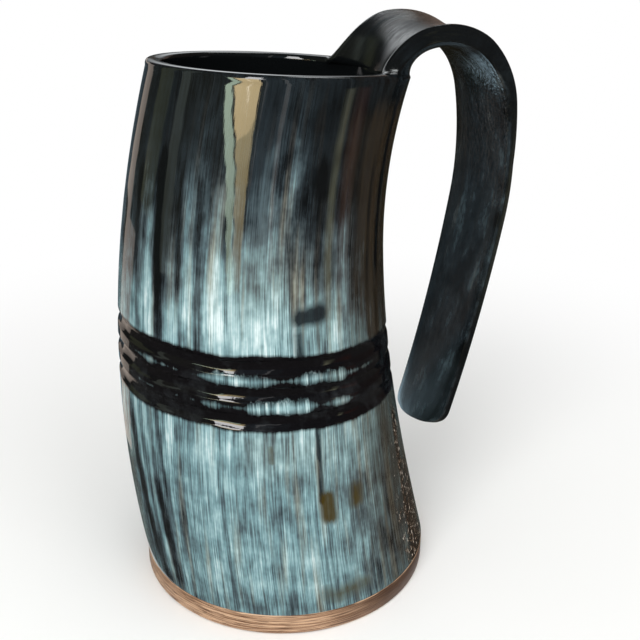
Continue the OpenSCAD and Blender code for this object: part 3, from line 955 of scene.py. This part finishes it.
def polished_horn(name, blur, unevenness):
    """Buffalo horn, scraped, sanded and lacquered: pale streaks along the fibres, black towards the tip
    end, with a clear wet-looking gloss over it, softer where the bent strap was rubbed, and sooty grooves"""
    colours = bpy.context.scene.horn_cup_colours
    material, tree = new_material(name)
    parts = {field: add(tree, "Attribute", attribute_name=field, out="Fac") for field in PAINTED}
    grain = add(tree, "Attribute", attribute_name="grain", out="Vector")
    for number, (pattern, width, run, detail, rough) in enumerate(PATTERNS):
        scale = (1 / (width * MM), 1 / (width * MM), 1 / (run * MM))
        shift = (PATTERN_START + PATTERN_SHIFT[0] * number, PATTERN_SHIFT[1] * number, 0.0)
        placed = add(tree, "Mapping", grain, shift, None, scale)
        noise = add(tree, "TexNoise", placed, named={"Scale": 1.0, "Detail": detail, "Roughness": rough})
        parts[pattern] = add(tree, "MapRange", noise, 0.25, 0.75, -1.0, 1.0)
    for total, *terms in SUMS:
        parts[total] = 0.0
        for part, share in terms:
            share = parts.get(share, share)
            parts[total] = add(tree, "Math", parts[part], share, parts[total], operation="MULTIPLY_ADD")

    tip_share = add(tree, "MapRange", parts["away"], *TIP_SPAN, 0.0, 1.0)
    paleness = add(tree, "ValToRGB", tip_share, stops=grey(PALENESS))
    contrast = add(tree, "ValToRGB", tip_share, stops=grey(CONTRAST))
    contrast = add(tree, "Math", parts["strap"], STRAP_CONTRAST, contrast, operation="MULTIPLY_ADD")
    tone = add(tree, "Math", paleness, parts["lift"], operation="ADD")
    tone = add(tree, "Math", parts["fibres"], contrast, tone, operation="MULTIPLY_ADD")
    cool = add(tree, "ValToRGB", tone, stops=[
        (0.0, colours.black_horn), (0.2, colours.navy_horn), (0.42, colours.slate_horn),
        (0.64, colours.teal_horn), (0.84, colours.pale_horn), (1.0, colours.white_horn),
    ])
    mellow = add(tree, "ValToRGB", tone, stops=[
        (0.0, colours.black_horn), (0.2, colours.brown_horn), (0.64, colours.tan_horn),
        (1.0, colours.white_horn),
    ])
    mellowed = add(tree, "MapRange", parts["tints"], 0.1, 1.0, 0.0, 0.42)
    mellowed = add(tree, "Math", mellowed, parts["tint"], operation="ADD")
    shade = add(tree, "Mix", named={"Factor": mellowed, "A": cool, "B": mellow}, **COLOUR_MIX)
    browned = add(tree, "MapRange", tone, -0.2, 0.05, 0.0, 1.0)
    brown = {"Factor": browned, "A": colours.black_horn, "B": colours.brown_horn}
    worn = add(tree, "MapRange", parts["patches"], 0.0, 0.8, 0.0, 0.3)
    char = {"Factor": worn, "A": colours.soot, "B": colours.worn_soot}
    bark = add(tree, "ValToRGB", parts["crumbs"], stops=[(place, linear(code)) for place, code in BARK])
    # each layer over the last: where it starts and is full, its strongest share and its colour
    for layer, start, full, most, over in (
        # brown towards the handle: on the wall partly painted reflection
        ("rough_warm", 0.2, 1.0, 0.85, add(tree, "Mix", named=brown, **COLOUR_MIX)),
        ("rough_scar", -0.15, 0.45, 0.94, colours.scar),
        ("rough_amber", -0.1, 0.5, 0.93, colours.amber_horn),
        ("rough_crust", 0.0, 0.5, 0.95, bark),
        # painted shade on the strap's sawn edges, in the horn's black
        ("edge", 0.2, 0.8, 0.9, colours.black_horn),
        ("rough_soot", 0.7 * MM, -0.2 * MM, 1.0, add(tree, "Mix", named=char, **COLOUR_MIX)),
        ("inside", 0.0, 1.0, 1.0, colours.black_horn),
    ):
        share = add(tree, "MapRange", parts[layer], start, full, 0.0, most)
        shade = add(tree, "Mix", named={"Factor": share, "A": shade, "B": over}, **COLOUR_MIX)

    roughness = add(tree, "MapRange", parts["hairs"], -1.0, 1.0, 0.26, 0.4)
    relief = {"Height": parts["relief"], "Strength": unevenness, "Distance": RELIEF_DEPTH}
    bump = add(tree, "Bump", named=relief)
    shader = add(tree, "BsdfPrincipled", named={
        "Base Color": shade, "Roughness": roughness, "IOR": 1.54, "Specular IOR Level": 0.0,
        "Coat Weight": 1.0, "Coat Roughness": blur, "Coat IOR": 1.5, "Normal": bump, "Coat Normal": bump,
    })
    add(tree, "OutputMaterial", shader)
    return material


# which way the board of the base ran in the tree, set so that its darker end grain falls as painted shade
# on the base's right side, and how it lay askew when it was turned
SHADED_GRAIN_RUN = (math.cos(math.radians(-45)), math.sin(math.radians(-45)), 0.0)
BOARD_TILT = (0.015, 0.03, 0.0)
# patterns of the wood: sizes along, across and through the board in millimetres, detail, roughness
WOOD_PATTERNS = {"lines": ((110, 60, 0.6), 4.0, 0.6), "pores": ((9, 4, 0.3), 2.0, 0.5)}


def turned_wood():
    """Mango wood, turned, sanded and oiled: fine brown lines of late wood round the edge, darker where the
    oil soaked into the end grain, which is placed as painted shade on the base's right side, with a low sheen"""
    colours = bpy.context.scene.horn_cup_colours
    material, tree = new_material("turned_mango_wood")
    place = add(tree, "TexCoord", out="Object")
    noises = {}
    for pattern, (sizes, detail, rough) in WOOD_PATTERNS.items():
        board = add(tree, "Mapping", place, None, BOARD_TILT, [1 / (size * MM) for size in sizes])
        noise = {"Scale": 1.0, "Detail": detail, "Roughness": rough}
        noises[pattern] = add(tree, "TexNoise", board, named=noise)
    shade = add(tree, "ValToRGB", noises["lines"], stops=[
        (0.32, colours.dark_wood), (0.42, colours.pale_wood), (0.49, colours.dark_wood),
        (0.56, colours.pale_wood), (0.66, colours.dark_wood),
    ])
    # painted shade: the base is darkened where it faces the board's run, on its right side and opposite
    facing = add(tree, "TexCoord", out="Normal")
    end_on_shade = add(tree, "VectorMath", facing, SHADED_GRAIN_RUN, operation="DOT_PRODUCT", out="Value")
    end_on_shade = add(tree, "Math", end_on_shade, operation="ABSOLUTE")
    # each layer over the last: where it starts and is full, its strongest share and its colour
    for value, start, full, most, over in (
        (noises["pores"], 0.5, 0.64, 0.85, colours.wood_pores),
        # painted shade on the base's right side, set as darker oiled end grain
        (end_on_shade, 0.66, 0.94, 0.9, colours.end_grain_shade),
    ):
        share = add(tree, "MapRange", value, start, full, 0.0, most)
        shade = add(tree, "Mix", named={"Factor": share, "A": shade, "B": over}, **COLOUR_MIX)
    bump = add(tree, "Bump", named={"Height": noises["pores"], "Strength": 0.3, "Distance": 0.1 * MM})
    finish = {"Base Color": shade, "Roughness": 0.5, "IOR": 1.5, "Normal": bump}
    add(tree, "OutputMaterial", add(tree, "BsdfPrincipled", named=finish))
    return material


def poured_resin():
    """Dark epoxy, poured and set: a smooth glossy floor with a few faint swirls"""
    colours = bpy.context.scene.horn_cup_colours
    material, tree = new_material("poured_dark_resin")
    place = add(tree, "TexCoord", out="Object")
    swirl = add(tree, "TexNoise", place, named={"Scale": 1 / (18 * MM), "Detail": 3.0, "Distortion": 1.2})
    shade = add(tree, "ValToRGB", swirl, stops=[(0.35, colours.resin), (0.7, colours.resin_swirls)])
    bump = add(tree, "Bump", named={"Height": swirl, "Strength": 0.2, "Distance": 0.2 * MM})
    finish = {"Base Color": shade, "Roughness": 0.12, "IOR": 1.55, "Normal": bump}
    add(tree, "OutputMaterial", add(tree, "BsdfPrincipled", named=finish))
    return material


def seen_or_mirrored(tree):
    """1 for what the camera sees or a gloss or glass shows, 0 for what only lights the cup"""
    seen = add(tree, "LightPath", out="Is Camera Ray")
    for rays in ("Is Glossy Ray", "Is Transmission Ray"):
        seen = add(tree, "Math", seen, add(tree, "LightPath", out=rays), operation="MAXIMUM")
    return seen


PAPER = "#F4F4F2"
# distances from the cup's middle over which the paper fades to the white ground
PAPER_FADE = (0.07, 0.30)


def white_paper():
    """Matt white paper, plain: it takes the cup's soft shadow and fades to a white ground further off"""
    material, tree = new_material("matt_white_paper")
    place = add(tree, "TexCoord", out="Object")
    away = add(tree, "VectorMath", place, operation="LENGTH", out="Value")
    far = add(tree, "MapRange", away, *PAPER_FADE, 0.0, 1.0, interpolation_type="SMOOTHSTEP")
    share = add(tree, "Math", far, seen_or_mirrored(tree), operation="MULTIPLY")
    paper = add(tree, "BsdfDiffuse", linear(PAPER))
    ground = add(tree, "Emission", (1, 1, 1, 1), 1.0)
    add(tree, "OutputMaterial", add(tree, "MixShader", share, paper, ground))
    return material


def lit_card(name, tint):
    """A card that glows in its own tint, as strongly as its points say, for the cup's gloss alone"""
    material, tree = new_material(name)
    strength = add(tree, "Attribute", attribute_name="glow", out="Fac")
    add(tree, "OutputMaterial", add(tree, "Emission", linear(tint), strength))
    return material


# share of a card's width over which its glow grows from the border inwards
GLOW_FADE = 0.45


def soft_glow(rows, columns, strength, border):
    """Strengths of a grid of points: the full strength in the middle, a share of it on the border"""
    inward = []
    for count in (rows, columns):
        place = np.linspace(0, 1, count)
        inward.append(smooth(0, GLOW_FADE, np.minimum(place, 1 - place)))
    return strength * (border + (1 - border) * np.outer(*inward)).ravel()


def white_world(fill):
    """Even light from all round, and a white ground where the camera or a gloss sees past the floor"""
    world = bpy.data.worlds.new("white_studio")
    world.use_nodes = True
    tree = world.node_tree
    tree.nodes.clear()
    light = add(tree, "Background", (1, 1, 1, 1), fill)
    ground = add(tree, "Background", (1, 1, 1, 1), 1.0)
    add(tree, "OutputWorld", add(tree, "MixShader", seen_or_mirrored(tree), light, ground))
    bpy.context.scene.world = world


def toward(azimuth, elevation, distance, height):
    """A place seen from the cup at an azimuth and elevation in degrees, above a height"""
    a, e = math.radians(azimuth), math.radians(elevation)
    level = math.cos(e) * distance
    return Vector((math.sin(a) * level, -math.cos(a) * level, height + math.sin(e) * distance))


def arc(radius, height, first, last, steps):
    """Points round the cup at a height, from one azimuth in degrees to another"""
    around = np.radians(np.linspace(first, last, steps))
    return [(radius * math.sin(a), -radius * math.cos(a), height) for a in around]


# lamps: azimuth, elevation, distance, width, height, watts
LAMPS = {
    "window_lamp": (-40, 35, 1.2, 0.6, 0.8, 9.0),
    "top_lamp": (10, 75, 1.2, 0.9, 0.9, 5.0),
    "front_lamp": (20, 20, 1.4, 0.8, 0.8, 5.0),
}
# how far off the walls and the windows stand, points along and across a card, and sides of the round floor
CARD_RING = 0.6
WINDOW_RING = 0.58
CARD_STEPS = 16
GROUND_STEPS = 97
SOFT_STEPS = 13
FLOOR_SIDES = 96
# cards round the cup: tint, strength at the lowest and highest row, and rows of height, from and to azimuth
CARDS = {
    "olive_wall": ("#8A8C78", 0.4, 0.4, ((0.0, -93, -25), (0.75, -95, -29))),
    "green_curtain": ("#CFE5CC", 5.0, 11.5, (
        (0.0, -37, -34), (0.06, -40, -35), (0.115, -44, -38), (0.15, -49, -43), (0.175, -53, -47),
        (0.235, -60, -56),
    )),
    "tan_blind_low": ("#E2CE9C", 1.3, 8.0, (
        (0.0, -33, -28), (0.06, -34, -27), (0.115, -37, -28), (0.145, -41, -29),
    )),
    "tan_blind": ("#E8D09E", 11.5, 15.5, ((0.145, -41, -29), (0.175, -45.5, -30), (0.235, -54.5, -32))),
    "blind_cord": ("#FFEFD0", 18.0, 18.0, ((0.152, -36.5, -35.5), (0.175, -38.5, -37.5), (0.235, -44, -43))),
    "window_low": ("#FFFFFF", 12.0, 12.0, ((0.237, -46, -27), (0.29, -45, -27))),
    "window_top": ("#FFFFFF", 12.0, 12.0, ((0.29, -43, -29), (0.75, -43, -29))),
    "blue_wall": ("#7A8C98", 0.65, 0.65, ((0.0, -25, -6), (0.16, -25, -11), (0.75, -29, -11))),
    "grey_wall": ("#76848C", 0.4, 0.4, ((0.0, -3, 10), (0.16, -8, 10), (0.75, -8, 10))),
    "dark_wall": ("#5A5C5C", 0.35, 0.35, ((0.0, 10, 60), (0.75, 10, 60))),
    "brown_wall": ("#6B5A4C", 0.35, 0.35, ((0.0, 60, 150), (0.75, 60, 150))),
    "far_wall": ("#6B6660", 0.5, 0.5, ((0.0, 150, 176), (0.75, 150, 176))),
    "door_wall": ("#8A8078", 3.0, 3.0, ((0.0, 176, 214), (0.24, 176, 214))),
    "upper_wall": ("#5C5650", 0.25, 0.25, ((0.24, 176, 214), (0.75, 176, 214))),
    "dusk_wall": ("#5E6258", 0.4, 0.4, ((0.0, 214, 267), (0.75, 214, 267))),
    "olive_curtain": ("#6E7358", 1.4, 1.4, ((0.05, 231, 249), (0.75, 226, 246))),
    "second_window": ("#C4D0C0", 0.7, 1.0, ((0.0, 263, 273), (0.16, 259, 269), (0.75, 253, 263))),
}
# parts of the floor and the ceiling that show in the gloss: tint, strength, share of it on the border,
# height, inner and outer radius, from and to azimuth
GROUNDS = {
    "dark_ground": ("#5C5A54", 0.5, 1.0, 0.0002, 0.048, 0.6, 0, 360),
    "brown_ground": ("#8A8078", 2.7, 1.0, 0.0004, 0.10, 0.6, 206, 228),
    "pale_ground": ("#C2C2A0", 2.8, 0.2, 0.0005, 0.22, 0.60, 41, 50),
    "rust_ground": ("#6E4638", 1.7, 0.3, 0.0005, 0.22, 0.60, 51, 68),
    "lit_ground": ("#BFDDEC", 3.8, 0.06, 0.0006, 0.05, 0.20, 150, 204),
    "ceiling_light": ("#F2F6F6", 5.0, 1.0, 0.745, 0.28, 0.56, 126, 152),
    "dim_ceiling": ("#5C5A54", 0.4, 1.0, 0.75, 0.001, 0.6, 0, 360),
}
# screens beside the strap that show in its gloss: tint, strength, share of it on the border, y, from and
# to x, from and to height
SCREENS = {
    "strap_screen": ("#6A7C86", 0.6, 0.7, 0.166, -0.085, 0.022, 0.0, 0.155),
    "strap_shade": ("#4A4634", 0.25, 1.0, 0.166, 0.022, 0.22, 0.0, 0.155),
    "strap_window": ("#D6DADC", 4.2, 0.1, 0.166, -0.065, 0.11, 0.165, 0.34),
    "brown_screen": ("#86746A", 1.2, 1.0, 0.166, 0.11, 0.19, 0.155, 0.25),
}


# the lacquer's gloss on the wall and on the rubbed strap: how blurred it is, and how uneven
WALL_GLOSS = (0.03, 0.07)
STRAP_GLOSS = (0.17, 0.22)


class HORNCUP_OT_horn(bpy.types.Operator):
    """Builds the horn wall with its grooves and the strap handle that grows out of its rim"""

    bl_idname = "horncup.horn"
    bl_label = "Horn wall and strap"

    def execute(self, context):
        form = HornForm(context.scene.horn_cup_wall, context.scene.horn_cup_strap)
        skin = HornMesh(form)
        skin_wall(skin)
        skin_strap(skin)
        wall_faces = np.concatenate(skin.wall_faces)
        strap_faces = np.concatenate(skin.strap_faces)
        normals = point_normals(skin.table()[:, :3], np.concatenate([wall_faces, strap_faces]))
        caps = seam_caps(skin)
        lacquered = polished_horn("lacquered_buffalo_horn", *WALL_GLOSS)
        rubbed = polished_horn("rubbed_buffalo_horn", *STRAP_GLOSS)
        wall = skin_piece("horn_wall", skin, wall_faces, caps, normals, lacquered)
        strap = skin_piece("horn_strap", skin, strap_faces, [cap[::-1] for cap in caps], normals, rubbed)
        for piece, node, slot in ((wall, "horn_body", "streaked_horn"), (strap, "horn_handle", "black_horn")):
            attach(piece, "root")
            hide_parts(node)
        return {"FINISHED"}


class HORNCUP_OT_base(bpy.types.Operator):
    """Builds the turned wooden base with its spigot inside the horn"""

    bl_idname = "horncup.base"
    bl_label = "Wooden base"

    def execute(self, context):
        bevel = 1.0 * MM
        seam = 0.25 * MM
        steps = np.linspace(0, math.pi / 2, 7)
        rounding = [(FOOT_R - bevel * (1 - math.sin(t)), bevel * (1 - math.cos(t))) for t in steps]
        band = [(FOOT_R, z) for z in np.linspace(bevel, HORN_FOOT - seam, 6)[1:]]
        profile = [(0, 0), (FOOT_R * 0.5, 0), *rounding, *band, (FOOT_R - seam, HORN_FOOT)]
        profile += [(SEAL_R, HORN_FOOT), (SEAL_R, SPIGOT_TOP), (0, SPIGOT_TOP)]
        base = turned_piece("turned_base", profile, turned_wood())
        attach(base, "root")
        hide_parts("wood_base")
        return {"FINISHED"}


class HORNCUP_OT_seal(bpy.types.Operator):
    """Builds the poured seal over the spigot, with its fillet up the horn"""

    bl_idname = "horncup.seal"
    bl_label = "Resin seal"

    def execute(self, context):
        fillet = 2.5 * MM
        floor = SEAT_TOP - fillet
        steps = np.linspace(0, math.pi / 2, 12)
        underside = [(0, SPIGOT_TOP), (SEAL_R * 0.5, SPIGOT_TOP), (SEAL_R, SPIGOT_TOP)]
        cove = [(SEAL_R - fillet * (1 - math.cos(t)), floor + fillet * (1 - math.sin(t))) for t in steps]
        disc = [(SEAL_R * share, floor) for share in (0.8, 0.5, 0.2)]
        seal = turned_piece("poured_seal", [*underside, *cove, *disc, (0, floor)], poured_resin())
        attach(seal, "root")
        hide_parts("resin_seal")
        return {"FINISHED"}


class HORNCUP_OT_stage(bpy.types.Operator):
    """Sets up the paper floor, the white ground, the lamps, the cards round the cup and the camera"""

    bl_idname = "horncup.stage"
    bl_label = "Stage"

    def execute(self, context):
        stage = context.scene.horn_cup_stage
        self.set_floor(stage.floor_r)
        white_world(stage.fill)
        for name, settings in LAMPS.items():
            self.set_lamp(name, stage.middle_z, *settings)
        for name, (tint, low, high, rows) in CARDS.items():
            ring = CARD_RING if name.endswith("wall") else WINDOW_RING
            points, glows = [], []
            for height, first, last in rows:
                points += arc(ring, height, first, last, CARD_STEPS)
                glows += [np.interp(height, (rows[0][0], rows[-1][0]), (low, high))] * CARD_STEPS
            self.set_card(name, tint, points, glows, CARD_STEPS)
        for name, (tint, strength, border, height, inner, outer, first, last) in GROUNDS.items():
            radii = np.linspace(inner, outer, SOFT_STEPS)
            points = [point for r in radii for point in arc(r, height, first, last, GROUND_STEPS)]
            glows = soft_glow(SOFT_STEPS, GROUND_STEPS, strength, border)
            self.set_card(name, tint, points, glows, GROUND_STEPS)
        for name, (tint, strength, border, y, left, right, low, high) in SCREENS.items():
            widths, heights = np.linspace(left, right, SOFT_STEPS), np.linspace(low, high, SOFT_STEPS)
            points = [(x, y, z) for z in heights for x in widths]
            glows = soft_glow(SOFT_STEPS, SOFT_STEPS, strength, border)
            self.set_card(name, tint, points, glows, SOFT_STEPS)
        self.set_camera(context.scene, stage)
        context.scene.view_settings.view_transform = "Standard"
        return {"FINISHED"}

    @staticmethod
    def set_floor(radius):
        """Lays the round paper floor"""
        mesh = bpy.data.meshes.new("paper_floor")
        turn = np.arange(FLOOR_SIDES) * TURN / FLOOR_SIDES
        corners = [(radius * math.cos(t), radius * math.sin(t), 0) for t in turn]
        mesh.from_pydata(corners, [], [range(FLOOR_SIDES)])
        mesh.materials.append(white_paper())
        floor = bpy.data.objects.new("paper_floor", mesh)
        bpy.context.scene.collection.objects.link(floor)

    @staticmethod
    def set_lamp(name, middle, azimuth, elevation, distance, width, height, watts):
        """Hangs a soft lamp that looks at the cup's middle and is itself not seen"""
        lamp = bpy.data.lights.new(name, "AREA")
        lamp.shape = "RECTANGLE"
        lamp.size = width
        lamp.size_y = height
        lamp.energy = watts
        holder = bpy.data.objects.new(name, lamp)
        holder.location = toward(azimuth, elevation, distance, middle)
        back = holder.location - Vector((0, 0, middle))
        holder.rotation_euler = back.to_track_quat("Z", "Y").to_euler()
        holder.visible_camera = False
        holder.visible_glossy = False
        bpy.context.scene.collection.objects.link(holder)

    @staticmethod
    def set_card(name, tint, points, glows, columns):
        """Stands a card that only the cup's gloss shows, from rows of points and their strengths"""
        starts = [k for k in range(len(points) - columns) if (k + 1) % columns]
        mesh = bpy.data.meshes.new(name)
        mesh.from_pydata(points, [], [(k, k + 1, k + 1 + columns, k + columns) for k in starts])
        mesh.attributes.new("glow", "FLOAT", "POINT").data.foreach_set("value", np.array(glows, float))
        mesh.materials.append(lit_card(name, tint))
        card = bpy.data.objects.new(name, mesh)
        for rays in ("camera", "diffuse", "shadow", "transmission", "volume_scatter"):
            setattr(card, "visible_" + rays, False)
        bpy.context.scene.collection.objects.link(card)

    @staticmethod
    def set_camera(scene, stage):
        """Sets the camera where the photograph was taken from"""
        a, e = stage.camera_azimuth, stage.camera_elevation
        middle = Vector((stage.middle_x, 0, stage.middle_z))
        back = Vector((math.sin(a) * math.cos(e), -math.cos(a) * math.cos(e), math.sin(e)))
        right = Vector((math.cos(a), math.sin(a), 0))
        aim = middle + right * stage.look_right + back.cross(right) * stage.look_up
        camera = bpy.data.cameras.new("photo_camera")
        camera.lens = stage.lens
        camera.sensor_width = 36.0
        camera.clip_start = 0.01
        holder = bpy.data.objects.new("photo_camera", camera)
        holder.location = middle + back * stage.camera_distance
        facing = (aim - holder.location).to_track_quat("-Z", "Y")
        holder.rotation_mode = "QUATERNION"
        holder.rotation_quaternion = facing @ Quaternion((0, 0, 1), stage.camera_roll)
        scene.collection.objects.link(holder)
        scene.camera = holder


OPERATORS = (HORNCUP_OT_horn, HORNCUP_OT_base, HORNCUP_OT_seal, HORNCUP_OT_stage)
GROUPS = {
    "horn_cup_wall": HornWallSizes,
    "horn_cup_strap": StrapSizes,
    "horn_cup_colours": FinishColours,
    "horn_cup_stage": StageSettings,
}


class HORNCUP_PT_panel(bpy.types.Panel):
    """Lists the cup's sizes and colours and the steps that build it"""

    bl_label = "Horn drinking cup"
    bl_idname = "HORNCUP_PT_panel"
    bl_space_type = "VIEW_3D"
    bl_region_type = "UI"
    bl_category = "Horn cup"

    def draw(self, context):
        for operator in OPERATORS:
            self.layout.operator(operator.bl_idname)
        for group_name, group in GROUPS.items():
            box = self.layout.box()
            box.label(text=group.__doc__)
            for name in group.__annotations__:
                box.prop(getattr(context.scene, group_name), name)


def register():
    for group_name, group in GROUPS.items():
        bpy.utils.register_class(group)
        setattr(bpy.types.Scene, group_name, bpy.props.PointerProperty(type=group))
    for item in (*OPERATORS, HORNCUP_PT_panel):
        bpy.utils.register_class(item)


def unregister():
    for item in (HORNCUP_PT_panel, *reversed(OPERATORS)):
        bpy.utils.unregister_class(item)
    for group_name, group in reversed(list(GROUPS.items())):
        delattr(bpy.types.Scene, group_name)
        bpy.utils.unregister_class(group)


def main():
    register()
    bpy.ops.horncup.horn()
    bpy.ops.horncup.base()
    bpy.ops.horncup.seal()
    bpy.ops.horncup.stage()


if __name__ == "__main__":
    main()
